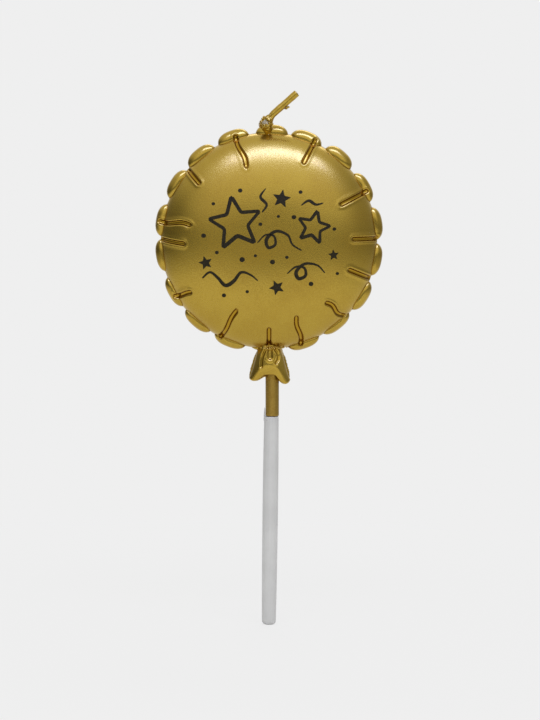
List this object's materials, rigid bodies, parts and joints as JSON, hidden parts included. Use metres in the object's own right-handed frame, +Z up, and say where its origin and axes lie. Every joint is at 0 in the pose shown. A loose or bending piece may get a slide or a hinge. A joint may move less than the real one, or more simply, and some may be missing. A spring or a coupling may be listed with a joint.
{
  "type": "birthday cake candle",
  "caption": "Birthday cake candle shaped like a round foil balloon with a tied neck, in gold lacquered wax, plugged into a slim white stick that is pushed into a cake.",
  "frame": {"origin": "centre of the flat on the tip of the stick, the end that goes into the cake", "axes": "+Z up along the stick, the printed front of the balloon faces -Y, +X to the right as seen from the front"},
  "size_m": [0.0595, 0.019, 0.1394],
  "materials": {
    "white_plastic": "satin moulded plastic",
    "gold_plastic": "gold lacquer, dull",
    "gold_wax": "satin gold lacquer over wax, with a fine grain and a black print on the front",
    "gold_wax_gloss": "glossy gold lacquer over wax",
    "gold_wax_coat": "gold lacquered wax skin, cracked at the root",
    "cotton": "waxed braided cotton"
  },
  "bodies": {
    "stick": {"stick": "white_plastic"},
    "candle_head": {"stem": "gold_plastic", "balloon": "gold_wax", "neck": "gold_wax_gloss", "wick": "cotton", "wick_coat": "gold_wax_coat", "wick_collar": "gold_wax_coat"}
  },
  "joints": [
    {"name": "head_lift", "type": "slide", "parent": "stick", "child": "candle_head", "axis": [0, 0, 1], "range_m": [0, 0.016]}
  ]
}
